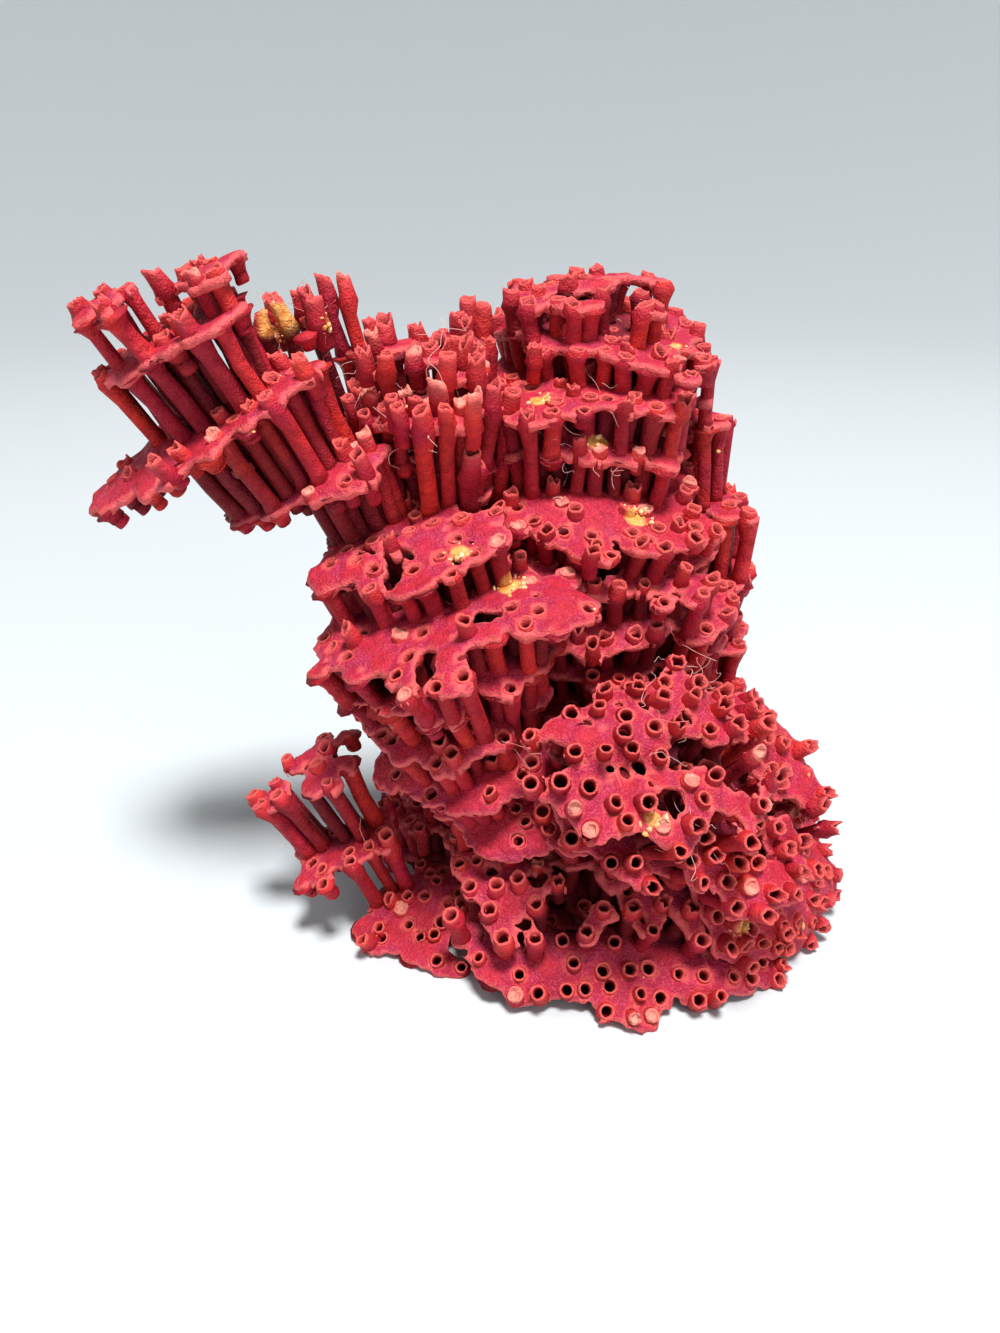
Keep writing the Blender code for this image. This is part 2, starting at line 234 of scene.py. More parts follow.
# Colours of crumbs, lint, floor and sky
GRIT_OCHRE = (0.78, 0.30, 0.05)
GRIT_CREAM = (0.90, 0.62, 0.36)
GRIT_BROWN = (0.60, 0.25, 0.12)
LINT_GREY = (0.82, 0.56, 0.50)
LINT_RED = (0.66, 0.22, 0.20)
FLOOR_GREY = (0.51, 0.54, 0.555)
SKY_WHITE = (0.92, 0.97, 1.0)

# Sizes of the noise in the coral's material, as bumps to a metre
COARSE_NOISE = 170.0
FINE_NOISE = 900.0
SPECK_NOISE = 4200.0

# The studio, in metres and watts: the radius of the flat floor, the radius that it curves up
# with and the height of its wall, the strength of the sky, and two square lamps
FLOOR_FLAT = 0.6
WALL_BEND = 0.9
WALL_TOP = 1.1
SKY_STRENGTH = 0.30
LAMP_SIZE = 0.30
KEY_WATTS = 28.0
KEY_PLACE = (0.10, -0.32, 1.25)
KEY_AIM = (0, 0, 0.05)
FILL_WATTS = 0.9
FILL_PLACE = (0.36, -0.54, 0.30)
FILL_AIM = (0, 0, 0.04)

# From the place that the table below is measured from to the middle of the colony
FRAME_SHIFT = np.array([0.02, 4.4, 0.0])

# The lobes, in the order in which they grow: where two meet, the later one gives way.
#   node: the solid that it stands for
#   middle, growth, spread: its middle, the way that its pipes grow, and the radii that its
#       middle platform curves with, sideways and front to back
#   spacing, foot: how far apart its pipes stand, and the height where the lowest end
#   rise, tall, snapped: how far open pipes rise, the share of tall broken ones, and how far
#       those rise
#   step, melt: the step of a plate's grid, and how dense the pipes must be to carry a plate
#   sealed, gaps: the share of last pipes that a plate closes over, and the share of pipes
#       that a platform lacks
#   swell: how far a platform bulges up and down
#   platforms: for each its height along the pipes, the centre of its outline, and the
#       outline's reach to the east, north-east, north and on round to south-east
LOBES = {
    "base": {
        "node": "base_mound",
        "middle": (19, -33, 29), "growth": (0.1, -0.75, 0.65), "spread": (50, 50),
        "spacing": 3.4, "foot": -16, "rise": (0.9, 3.0), "tall": 0.08, "step": 0.5,
        "melt": 0.78, "sealed": 0.10, "gaps": 0.15, "swell": 0.80, "snapped": (1.3, 3.4),
        "platforms": [
            (0, (0, 9), (15, 17, 12, 14, 14, 12, 12, 14)),
            (-6, (4, 4), (26, 24, 18, 18, 16, 11, 11, 18)),
            (-12, (6, 4), (26, 26, 18, 20, 20, 10, 10, 30)),
        ],
    },
    "east": {
        "node": "base_mound",
        "middle": (40, -16, 15), "growth": (0.62, -0.56, 0.55), "spread": (24, 22),
        "spacing": 3.3, "foot": -9, "rise": (0.5, 1.8), "tall": 0.05, "step": 0.5,
        "melt": 0.70, "sealed": 0.05, "gaps": 0.10, "swell": 0.60, "snapped": (1.3, 3.4),
        "platforms": [
            (0, (0, 0), (12, 12, 12, 10, 9, 10, 13, 14)),
            (-5, (0, 0), (16, 16, 14, 12, 10, 12, 13, 16)),
        ],
    },
    "foot": {
        "node": "base_mound",
        "middle": (16, -26, 6), "growth": (0.05, -0.5, 0.86), "spread": (70, 30),
        "spacing": 3.3, "foot": -6, "rise": (0.5, 2.0), "tall": 0.10, "step": 0.5,
        "melt": 0.70, "sealed": 0.10, "gaps": 0.13, "swell": 0.80, "snapped": (1.3, 3.4),
        "platforms": [
            (0, (2, 0), (28, 22, 12, 20, 22, 12, 9, 14)),
            (5.5, (0, 4), (22, 18, 8, 16, 20, 8, 4, 8)),
        ],
    },
    "left": {
        "node": "left_lobe",
        "middle": (-23, -14.4, 14.0), "growth": (-0.38, -0.2, 0.90), "spread": (46, 42),
        "spacing": 3.0, "foot": -17, "rise": (0.3, 1.4), "tall": 0.15, "step": 0.45,
        "melt": 0.82, "sealed": 0.30, "gaps": 0.20, "swell": 0.40, "snapped": (1.3, 3.4),
        "platforms": [
            (7.5, (0, 4), (7, 8, 6, 6, 7, 5, 4, 6)),
            (-3, (2, 1), (9, 10, 10, 10, 9, 8, 6, 8)),
            (-12, (12, -6), (13, 12, 12, 12, 13, 9, 9, 13)),
        ],
    },
    "shelf": {
        "node": "front_shelf",
        "middle": (-5.8, -16, 48.4), "growth": (-0.25, -0.3, 0.92), "spread": (56, 56),
        "spacing": 3.3, "foot": -29, "rise": (0.15, 0.9), "tall": 0.08, "step": 0.45,
        "melt": 0.70, "sealed": 0.42, "gaps": 0.06, "swell": 0.40, "snapped": (1.3, 3.4),
        "platforms": [
            (6, (-1, 5), (13, 10, 8, 10, 14, 8, 7, 9)),
            (0, (0, 0), (19, 14, 12, 14, 16, 12, 12, 9)),
            (-6, (0, 0), (14, 12, 12, 16, 19, 13, 13, 15)),
            (-12, (0, -2), (14, 12, 14, 18, 20, 15, 12, 13)),
            (-18, (0, -4), (13, 12, 16, 20, 19, 14, 15, 15)),
            (-24, (3, -8), (14, 12, 18, 16, 15, 14, 17, 17)),
        ],
    },
    "crown": {
        "node": "crown",
        "middle": (14, 4, 71.5), "growth": (0, -0.20, 0.98), "spread": (75, 80),
        "spacing": 2.9, "foot": -17, "rise": (0.3, 1.6), "tall": 0.16, "step": 0.5,
        "melt": 0.80, "sealed": 0.18, "gaps": 0.10, "swell": 0.40, "snapped": (1.3, 2.8),
        "platforms": [
            (9.3, (1, 6), (7, 8, 7, 10, 13, 8, 6, 8)),
            (4.6, (1, 6), (13, 15, 12, 13, 13, 13, 9, 14)),
            (0, (0, 2), (12, 16, 15, 16, 14, 17, 12, 15)),
            (-5.5, (0, 2), (13, 17, 17, 17, 14, 17, 15, 18)),
            (-11, (0, 0), (16, 18, 19, 18, 13, 18, 24, 22)),
        ],
    },
    "arm": {
        "node": "arm",
        "middle": (-33, -6, 68.5), "growth": (-0.47, -0.22, 0.85), "spread": (80, 42),
        "spacing": 2.8, "foot": -22, "rise": (0.3, 1.4), "tall": 0.22, "step": 0.45,
        "melt": 0.70, "sealed": 0.42, "gaps": 0.05, "swell": 0.35, "snapped": (1.3, 3.4),
        "platforms": [
            (16.5, (-1, 1), (5, 5, 4, 5, 6, 5, 4, 5)),
            (13.5, (8, 4), (4, 4, 4, 4, 4, 4, 4, 4)),
            (10, (1, 1), (11, 10, 7, 8, 9, 8, 6, 8)),
            (0, (0, 0), (16, 13, 9, 12, 18, 12, 9, 11)),
            (-11, (8, 0), (13, 12, 11, 11, 12, 9, 10, 13)),
            (-20, (17, 0), (9, 10, 12, 11, 11, 9, 11, 10)),
        ],
    },
    "neck": {
        "node": "arm",
        "middle": (-10, -2, 71), "growth": (-0.12, -0.22, 0.97), "spread": (60, 60),
        "spacing": 2.6, "foot": -21, "rise": (1.2, 3.2), "tall": 0.4, "step": 0.45,
        "melt": 1.25, "sealed": 0.10, "gaps": 0.26, "swell": 0.60, "snapped": (2.5, 4.5),
        "platforms": [
            (10, (-9, 4), (7, 6, 5, 6, 9, 5, 4, 5)),
            (3, (3, 3), (13, 12, 8, 9, 10, 8, 6, 10)),
            (-2, (2, 1), (13, 12, 10, 10, 10, 8, 7, 11)),
            (-7, (2, 1), (13, 13, 11, 11, 11, 8, 7, 11)),
            (-12, (3, 0), (13, 12, 12, 12, 12, 8, 8, 11)),
            (-17, (5, 1), (11, 11, 12, 12, 12, 7, 8, 9)),
        ],
    },
    "flank": {
        "node": "column",
        "middle": (31.5, 8, 44), "growth": (0, -0.05, 1), "spread": (70, 70),
        "spacing": 2.8, "foot": -23, "rise": (0.3, 1.2), "tall": 0.15, "step": 0.5,
        "melt": 0.70, "sealed": 0.20, "gaps": 0.05, "swell": 0.30, "snapped": (1.3, 3.4),
        "platforms": [
            (31, (-5, -3), (5, 5, 5, 4, 4, 4, 5, 5)),
            (22, (-1, 0), (4, 5, 7, 4, 4, 4, 5, 4)),
            (11.5, (0, 0), (5, 6, 8, 5, 4, 5, 7, 6)),
            (2, (0, 0), (7, 8, 9, 6, 5, 6, 8, 7)),
            (-8, (0, 0), (8, 8, 10, 7, 6, 8, 10, 9)),
            (-18, (0, 0), (9, 9, 10, 7, 6, 8, 10, 10)),
        ],
    },
    "column": {
        "node": "column",
        "middle": (14, 4, 45), "growth": (-0.06, -0.20, 0.98), "spread": (75, 65),
        "spacing": 3.2, "foot": -19, "rise": (0.4, 1.6), "tall": 0.12, "step": 0.55,
        "melt": 0.70, "sealed": 0.22, "gaps": 0.08, "swell": 0.40, "snapped": (1.3, 3.4),
        "platforms": [
            (9, (0, 0), (17, 19, 20, 20, 18, 18, 13, 19)),
            (3, (0, 0), (18, 20, 21, 20, 19, 20, 18, 22)),
            (-3, (0, 0), (19, 21, 22, 20, 19, 21, 18, 20)),
            (-9, (0, 0), (20, 22, 23, 21, 20, 21, 17, 20)),
            (-15, (0, 0), (22, 24, 24, 22, 20, 21, 17, 20)),
        ],
    },
    "root": {
        "node": "base_mound",
        "middle": (13, -2, 0), "growth": (0, 0, 1), "spread": (150, 150),
        "spacing": 3.5, "foot": 0, "rise": (0.4, 1.6), "tall": 0.12, "step": 0.7,
        "melt": 0.70, "sealed": 0.15, "gaps": 0.06, "swell": 0.40, "snapped": (1.3, 3.4),
        "platforms": [
            (31, (3, 4), (19, 20, 18, 18, 17, 17, 12, 15)),
            (25, (2, 4), (22, 23, 19, 20, 22, 20, 14, 17)),
            (19, (1, 3), (24, 24, 20, 22, 24, 22, 14, 18)),
            (13, (1, 2), (27, 27, 23, 26, 26, 24, 16, 22)),
            (7, (0, 1), (30, 29, 25, 28, 29, 26, 24, 28)),
            (1.2, (0, 0), (31, 31, 26, 28, 30, 28, 29, 32)),
        ],
    },
    "back": {
        "node": "base_mound",
        "middle": (13, 16, 17), "growth": (0.05, 0.6, 0.8), "spread": (34, 30),
        "spacing": 3.4, "foot": -10, "rise": (0.4, 1.6), "tall": 0.12, "step": 0.6,
        "melt": 0.70, "sealed": 0.20, "gaps": 0.08, "swell": 0.40, "snapped": (1.3, 3.4),
        "platforms": [
            (0, (0, 0), (22, 20, 14, 20, 24, 20, 16, 20)),
            (-6, (0, 0), (26, 24, 18, 22, 26, 22, 16, 22)),
        ],
    },
}

# Patches of yellow crust: the lobe, the place on it as p, q and height, and how far it spreads
CRUSTS = [
    ("shelf", (9, 2, 0.5), 3.2),
    ("shelf", (4, 3, 6), 2.6),
    ("crown", (6, -14, -10.5), 3.2),
    ("crown", (5, -3, 0.5), 2.0),
    ("crown", (10, 2, 5), 2.2),
    ("column", (15, -8, 9), 2.0),
    ("crown", (0, -9, -5), 2.4),
    ("crown", (-7, -6, 0.5), 2.6),
    ("base", (5, 9, 0.5), 2.2),
    ("base", (-1, 1, 0.5), 2.8),
    ("base", (18, -12, -11.5), 2.2),
    ("column", (13, -18, 3), 2.0),
    ("flank", (2, 2, 2), 2.0),
    ("neck", (-11, 3, 10.5), 4.5),
    ("neck", (-5, 2, 9), 2.5),
    ("arm", (8, -13, 0), 1.6),
]

# Where lint has caught: the lobe, the place on it, how far it scatters, and how many fibres
LINT = [
    ("neck", (0, 0, 3), 9.0, 26),
    ("neck", (-10, 8, 11), 5.0, 10),
    ("crown", (0, -9, -5), 8.0, 22),
    ("crown", (9, 6, 5), 8.0, 20),
    ("column", (13, -18, 3), 4.0, 7),
    ("base", (4, 8, 0), 12.0, 26),
    ("shelf", (0, -6, -6), 14.0, 20),
    ("left", (0, 0, 0), 10.0, 6),
]

# The photograph's camera
CAMERA_PLACE = FRAME_SHIFT + (2.0, -120.0, 95.0)
CAMERA_DIP = 27.0
FRAME_LONG = 1333.0
LENS_PIXELS = 963.0
SENSOR = 36.0

# The sines of each coordinate, with directions and phases drawn once
WAVES = np.random.default_rng(WAVE_SEED).normal(size=(3, WAVE_COUNT, 3))
WAVE_PHASES = np.random.default_rng(PHASE_SEED).uniform(0, 2 * np.pi, size=(3, WAVE_COUNT))


def unit(v):
    """The vectors of the last axis, each divided by its length."""
    v = np.asarray(v, float)
    return v / np.linalg.norm(v, axis=-1, keepdims=True)


def wander(points, wavelength, amount):
    """A smooth wobble: each coordinate is the sum of a few sine waves of the place, each wave
    with its own direction, so that neighbours move together."""
    k = 2 * np.pi / wavelength * WAVES / WAVE_REACH
    phase = np.einsum("...j,cwj->...cw", points, k) + WAVE_PHASES
    return amount * np.sin(phase).sum(-1) / np.sqrt(WAVE_COUNT / 2)


def wave_spot(p, q, apart):
    """Where a platform's waves are read at (p, q): the third coordinate sets platforms apart."""
    return np.stack([p, q, np.full_like(p, apart)], -1)


def lobe_frame(lobe):
    """A lobe's middle, its growth axis, and the two directions across it, east and north."""
    growth = unit(lobe["growth"])
    east = unit(np.array([1.0, 0, 0]) - growth[0] * growth)
    return np.array(lobe["middle"]) + FRAME_SHIFT, growth, east, np.cross(growth, east)


def on_lobe(lobe, p, q, height):
    """The place, and the way that pipes grow there, at p east and q north of a lobe's middle
    and a height: the middle platform is a paraboloid, and the others are parallel to it."""
    middle, growth, east, north = lobe_frame(lobe)
    spread_p, spread_q = lobe["spread"]
    p, q, height = np.broadcast_arrays(p, q, height)
    sag = p**2 / (2 * spread_p) + q**2 / (2 * spread_q)
    foot = middle + p[..., None] * east + q[..., None] * north - sag[..., None] * growth
    way = unit(growth + (p / spread_p)[..., None] * east + (q / spread_q)[..., None] * north)
    place = foot + height[..., None] * way
    return place + wander(place, *SWAY), way


def find_on_lobe(lobe, points):
    """Where points lie in a lobe's own p, q and height, by a few rounds of correction."""
    middle, growth, east, north = lobe_frame(lobe)
    spread_p, spread_q = lobe["spread"]
    out = points - middle
    p, q, height = out @ east, out @ north, out @ growth
    for _ in range(FIND_ROUNDS):
        slant = np.sqrt(1 + (p / spread_p) ** 2 + (q / spread_q) ** 2)
        p = (out @ east) / np.maximum(1 + height / (slant * spread_p), LEAST_WIDTH)
        q = (out @ north) / np.maximum(1 + height / (slant * spread_q), LEAST_WIDTH)
        height = (out @ growth + p**2 / (2 * spread_p) + q**2 / (2 * spread_q)) * slant
    return p, q, height


def within(platform, p, q):
    """How far (p, q) lies inside a platform's outline: its reach at that angle, eased
    between its eight spokes and wobbling a little, less the distance from its centre."""
    height, (p0, q0), spokes = platform
    spokes = np.array(spokes, float)
    turn = (np.arctan2(q - q0, p - p0) / (np.pi / 4)) % 8
    k = turn.astype(int) % 8
    t = turn - np.floor(turn)
    t = t * t * (3 - 2 * t)
    reach = spokes[k] * (1 - t) + spokes[(k + 1) % 8] * t
    spot = wave_spot(p, q, OUTLINE_APART * height)
    slow, quick = OUTLINE_WAVES
    edge = wander(spot, *slow)[..., 0] + wander(spot, *quick)[..., 1]
    return reach - np.hypot(p - p0, q - q0) + edge


def lift(lobe, height, p, q):
    """How far a platform bulges up or down at (p, q), in slow waves of its own."""
    return wander(wave_spot(p, q, SWELL_APART * height), SWELL_LENGTH, lobe["swell"])[..., 0]


def claimed(points, lobes):
    """Which points lie inside one of these lobes: between its lowest and highest platform,
    and well inside the outlines of the platforms above and below them."""
    taken = np.zeros(len(points), bool)
    for lobe in lobes:
        p, q, height = find_on_lobe(lobe, points)
        platforms = sorted(lobe["platforms"])
        levels = np.array([platform[0] for platform in platforms])
        depths = np.array([within(platform, p, q) for platform in platforms])
        over = np.clip(np.searchsorted(levels, height), 0, len(levels) - 1)
        under = np.clip(over - 1, 0, None)
        row = np.arange(len(points))
        depth = np.minimum(depths[over, row], depths[under, row])
        level = (height > levels[0] - CLAIM_REACH) & (height < levels[-1] + CLAIM_REACH)
        taken |= level & (depth > CLAIM_DEPTH)
    return taken


def pipe_seeds(spacing, rng):
    """Where the pipes stand: a jittered honeycomb, in the middle platform's p and q."""
    n = int(SEED_REACH / spacing)
    i, j = np.meshgrid(np.arange(-n, n + 1), np.arange(-n, n + 1))
    p = (i + 0.5 * (j % 2)).ravel() * spacing
    q = j.ravel() * spacing * ROW_STEP
    jitter = rng.uniform(-SEED_JITTER, SEED_JITTER, (2, p.size)) * spacing
    return p + jitter[0], q + jitter[1]


def shade_under(cover, p, q):
    """How much shade is painted under a platform: 0 outside its outline, rising to 1 well inside it.
    """
    if cover is None:
        return p * 0
    t = np.clip(within(cover, p, q) / SHADE_WIDTH, 0, 1)
    return t * t * (3 - 2 * t)


def plate(lobe, platform, p_pipes, q_pipes, mouths, cover):
    """One platform. Each pipe spreads a bell-shaped mound over a grid of p and q, and the
    plate is where their sum and some waves are high enough and no pipe is open. One wave is
    folded, so that the edge has notches. The cover is the platform above, whose painted
    shade darkens this plate's colour."""
    height, (p0, q0), spokes = platform
    spread_p, spread_q = lobe["spread"]
    half = max(spokes) + 4.0
    steps = np.arange(-half, half, lobe["step"])
    gp, gq = p0 + steps, q0 + steps
    p, q = np.meshgrid(gp, gq, indexing="ij")
    wide_p, wide_q = 1 + height / spread_p, 1 + height / spread_q
    field = np.zeros(p.shape)
    near = np.full(p.shape, FAR)
    hole = np.full(p.shape, FAR)
    for pipe_p, pipe_q, is_mouth in zip(p_pipes, q_pipes, mouths):
        i0, i1 = np.searchsorted(gp, [pipe_p - MELT_WINDOW, pipe_p + MELT_WINDOW])
        j0, j1 = np.searchsorted(gq, [pipe_q - MELT_WINDOW, pipe_q + MELT_WINDOW])
        window = (slice(i0, i1), slice(j0, j1))
        gap = np.hypot((p[window] - pipe_p) * wide_p, (q[window] - pipe_q) * wide_q)
        field[window] += np.exp(-((gap / MELT_WIDTH) ** 2))
        near[window] = np.minimum(near[window], gap)
        if is_mouth:
            hole[window] = np.minimum(hole[window], gap)
    spot = wave_spot(p, q, EDGE_APART * height)
    slow, quick, folded = EDGE_WAVES
    rough = wander(spot, *slow)[..., 2] + wander(spot, *quick)[..., 0]
    rough += FOLD_MEAN - np.abs(wander(spot, *folded)[..., 1])
    melted = (field - lobe["melt"] + rough) * MELT_SLOPE
    inside = np.minimum(melted, hole - PIPE_RADIUS * MOUTH_SHARE)
    return sheet(lobe, height, gp, gq, inside, near, cover)


def sheet(lobe, height, gp, gq, inside, near, cover):
    """The two-sided skin over the part of a grid where inside is positive. Each cell that
    the edge crosses moves its point onto the edge, the mean of the edge's crossings with
    the cell's sides. The skin thins towards the edge and swells into a collar at each pipe."""
    step = gp[1] - gp[0]
    solid = inside > 0
    solid[[0, -1], :] = False
    solid[:, [0, -1]] = False
    f = inside
    corner = [f[:-1, :-1], f[1:, :-1], f[1:, 1:], f[:-1, 1:]]
    place = [(0, 0), (1, 0), (1, 1), (0, 1)]
    total = np.zeros(corner[0].shape + (2,))
    count = np.zeros(corner[0].shape)
    for k in range(4):
        a, b = corner[k], corner[(k + 1) % 4]
        crosses = (a > 0) != (b > 0)
        t = np.where(crosses, a / np.where(crosses, a - b, 1), 0)
        (ax, ay), (bx, by) = place[k], place[(k + 1) % 4]
        total[..., 0] += np.where(crosses, ax + t * (bx - ax), 0)
        total[..., 1] += np.where(crosses, ay + t * (by - ay), 0)
        count += crosses
    rim = count > 0
    mid = np.where(rim[..., None], total / np.maximum(count, 1)[..., None], 0.5)
    used = solid[:-1, :-1] | solid[1:, :-1] | solid[1:, 1:] | solid[:-1, 1:]
    index = np.full(used.shape, -1)
    index[used] = np.arange(used.sum())
    ii, jj = np.nonzero(used)
    cp = gp[ii] + mid[ii, jj, 0] * step
    cq = gq[jj] + mid[ii, jj, 1] * step
    # Painted shade: how much the platform above darkens this plate's colour
    painted_cover_shade = shade_under(cover, cp, cq)
    gap = near[ii, jj] + near[ii + 1, jj] + near[ii + 1, jj + 1] + near[ii, jj + 1]
    beyond = np.maximum(0.25 * gap - PIPE_RADIUS, 0)
    edge = rim[ii, jj]
    collar = np.exp(-((beyond / COLLAR_WIDTH) ** 2))
    web = np.exp(-((beyond / WEB_WIDTH) ** 2))
    half = np.where(edge, RIM_HALF, 0.5 * PLATE_THICK)
    grain = wave_spot(cp, cq, SURFACE_APART * height)
    middle = height + lift(lobe, height, cp, cq) + wander(grain, *SURFACE_WAVE)[:, 1]
    top, _ = on_lobe(lobe, cp, cq, middle + half + COLLAR_RISE * collar)
    low, _ = on_lobe(lobe, cp, cq, middle - half - WEB_DROP * web)
    i, j = np.nonzero(solid[1:-1, 1:-1])
    i, j = i + 1, j + 1
    a, b, c, d = index[i - 1, j - 1], index[i, j - 1], index[i, j], index[i - 1, j]
    n = len(ii)
    faces = [np.stack([a, b, c, d], 1), np.stack([d, c, b, a], 1) + n]
    for di, dj, u, v in ((0, -1, a, b), (1, 0, b, c), (0, 1, c, d), (-1, 0, d, a)):
        bare = ~solid[i + di, j + dj]
        faces.append(np.stack([v[bare], u[bare], u[bare] + n, v[bare] + n], 1))
    tones = {
        "pipe": np.concatenate([0.6 * collar, 0.8 * collar]),
        "tint": np.full(2 * n, 0.5),
        "rim": np.concatenate([edge, edge]).astype(float),
        "painted_bore_shade": np.zeros(2 * n),
        "pale": np.zeros(2 * n),
        "dust": np.concatenate([1 - 0.5 * collar, np.zeros(n)]),
        # painted shade under the platform above, on both sides of the plate
        "painted_shade": np.concatenate([painted_cover_shade, painted_cover_shade]),
    }
    return np.concatenate([top, low]), np.concatenate(faces), tones


def sweep(lobe, p, q, heights, radii, tones, turn):
    """Pipes as rings carried along the ways that they grow, which a sine wave of the height
    bends a little. Heights and radii are arrays of (pipe, ring, side), and a ring of no radius
    is a single point."""
    heights, radii = np.broadcast_arrays(heights, radii)
    count, rings, sides = radii.shape
    angle = turn[:, None, None] + np.arange(sides) * 2 * np.pi / sides
    level = heights.mean(-1)
    rate_p, rate_q = BEND_RATES
    phase_p, phase_q = BEND_PHASES
    bend_p = PIPE_BEND * np.sin(rate_p * level + phase_p * turn[:, None])
    bend_q = PIPE_BEND * np.sin(rate_q * level + phase_q * turn[:, None])
    axis, way = on_lobe(lobe, p[:, None] + bend_p, q[:, None] + bend_q, level)
    east = lobe_frame(lobe)[2]
    side_a = unit(east - (way @ east)[..., None] * way)
    side_b = np.cross(way, side_a)
    points = (
        axis[:, :, None]
        + (radii * np.cos(angle))[..., None] * side_a[:, :, None]
        + (radii * np.sin(angle))[..., None] * side_b[:, :, None]
        + (heights - level[..., None])[..., None] * way[:, :, None]
    )
    number = np.arange(count * rings * sides).reshape(count, rings, sides)
    pole = radii.max(-1) == 0
    number = np.where(pole[..., None], number[..., :1], number)
    here, over = number[:, :-1], number[:, 1:]
    faces = np.stack([here, np.roll(here, -1, 2), np.roll(over, -1, 2), over], -1).reshape(-1, 4)
    tones = {k: np.broadcast_to(v, (count, rings, sides)).reshape(-1) for k, v in tones.items()}
    return points.reshape(-1, 3), faces, tones


def spans(lobe, p, q, low, high, standing, painted_under_shade, rng):
    """Whole pipes up to a platform, whose profile flares where they meet it and where they
    stand. They are slightly oval."""
    n = len(p)
    share, more, girth = SPAN_RINGS.T
    heights = share * (high - low)[:, None] + more
    radii = np.tile(girth, (n, 1))
    radii[:, 1] = np.where(standing, SPAN_FOOT, FREE_FOOT)
    size = rng.uniform(PIPE_THIN, PIPE_THICK, (n, 1))
    radii = PIPE_RADIUS * radii * size * rng.normal(1, SPAN_ROUGH, radii.shape)
    oval = 1 + SPAN_OVAL * np.cos(2 * np.arange(SPAN_SIDES) * 2 * np.pi / SPAN_SIDES)
    tones = {
        "pipe": np.ones((1, 1, 1)),
        "tint": rng.uniform(0, 1, (n, 1, 1)),
        "rim": np.zeros((1, 1, 1)),
        "painted_bore_shade": np.zeros((1, 1, 1)),
        "pale": np.zeros((1, 1, 1)),
        "dust": np.zeros((1, 1, 1)),
        # painted shade under the platform that the pipe ends on
        "painted_shade": painted_under_shade[:, None, None],
    }
    heights = low[:, None, None] + heights[..., None]
    return sweep(lobe, p, q, heights, radii[..., None] * oval, tones, rng.uniform(0, 6, n))


def mouths(lobe, p, q, low, level, rise, standing, painted_under_shade, rng):
    """Open pipes: up the outside, flaring at the platform, to a broken rim, over it, and down
    the bore to a floor. The rim's height is a sum of cosine waves round the mouth. Some
    pipes are sealed by a pale plug just under the rim."""
    n = len(p)
    to_plate, to_rim, to_floor, more, girth, teeth, rim, painted_bore_shade, pale, outside = MOUTH_RINGS.T
    rise = rise[:, None]
    tall = (level - low)[:, None]
    plugged = rng.uniform(size=(n, 1)) < PLUG_SHARE
    depth = np.where(plugged, PLUG_DEPTH, np.minimum(tall + rise - BORE_FLOOR, BORE_DEPTH))
    angle = np.arange(MOUTH_SIDES) * 2 * np.pi / MOUTH_SIDES
    jag = np.zeros((n, MOUTH_SIDES))
    for m, size in TOOTH_WAVES:
        jag += size * rng.normal(size=(n, 1)) * np.cos(m * angle + rng.uniform(0, 6, (n, 1)))
    jag *= np.minimum(TOOTH_BASE + TOOTH_GAIN * rise, TOOTH_CAP) * rng.uniform(*TOOTH_SPREAD, (n, 1))
    jag = np.clip(jag, -TOOTH_SHARE * rise, TOOTH_LIMIT)
    heights = to_plate * tall + to_rim * rise + to_floor * depth + more
    heights = (low[:, None] + heights)[..., None] + teeth[:, None] * jag[:, None]
    radii = np.tile(girth, (n, 1))
    radii[:, 1] = np.where(standing, MOUTH_FOOT, FREE_FOOT)
    radii = radii[..., None] * rng.normal(1, MOUTH_ROUGH, (n, len(girth), MOUTH_SIDES))
    radii = PIPE_RADIUS * radii * rng.uniform(PIPE_THIN, PIPE_THICK, (n, 1, 1))
    plug = plugged[..., None]
    tones = {
        "pipe": np.ones((1, 1, 1)),
        "tint": rng.uniform(0, 1, (n, 1, 1)),
        "rim": rim[None, :, None],
        # painted shade down the bore, none where a plug seals it
        "painted_bore_shade": np.where(plug, 0.0, painted_bore_shade[:, None]),
        "pale": np.where(plug, pale[:, None], 0.0),
        "dust": np.zeros((1, 1, 1)),
        # painted shade on the outside of the pipe, under the platform
        "painted_shade": painted_under_shade[:, None, None] * outside[:, None],
    }
    return sweep(lobe, p, q, heights, radii, tones, rng.uniform(0, 6, n))


def joined(parts):
    """Several (points, faces, tones) made one, with the faces' numbers moved along."""
    shift = np.cumsum([0] + [len(part[0]) for part in parts[:-1]])
    points = np.concatenate([part[0] for part in parts])
    faces = np.concatenate([part[1] + s for part, s in zip(parts, shift)])
    tones = {key: np.concatenate([part[2][key] for part in parts]) for key in parts[0][2]}
    return points, faces, tones


